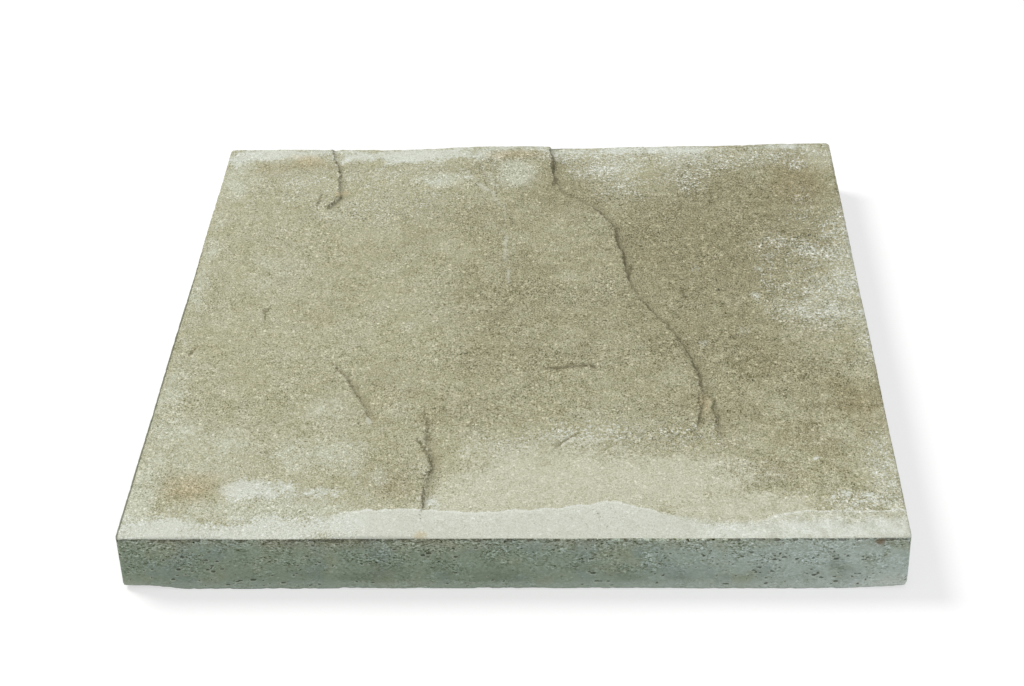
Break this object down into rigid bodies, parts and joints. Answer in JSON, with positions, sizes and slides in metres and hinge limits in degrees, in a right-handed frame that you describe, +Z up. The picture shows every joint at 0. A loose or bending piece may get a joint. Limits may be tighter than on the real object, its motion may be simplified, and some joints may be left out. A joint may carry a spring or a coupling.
{
  "type": "concrete paving slab",
  "caption": "Square cast concrete paving slab with a riven stone-effect top face and a flat underside, laid to form paths and patios.",
  "frame": {"origin": "centre of the flat underside", "axes": "+Z up through the thickness to the riven face, X and Y along the two sides"},
  "size_m": [0.45, 0.45, 0.0395],
  "materials": {
    "riven_concrete": "matt sand-textured buff concrete with a paler cement-rich margin and grey sides"
  },
  "bodies": {
    "root": {"paving_slab": "riven_concrete"}
  },
  "joints": []
}
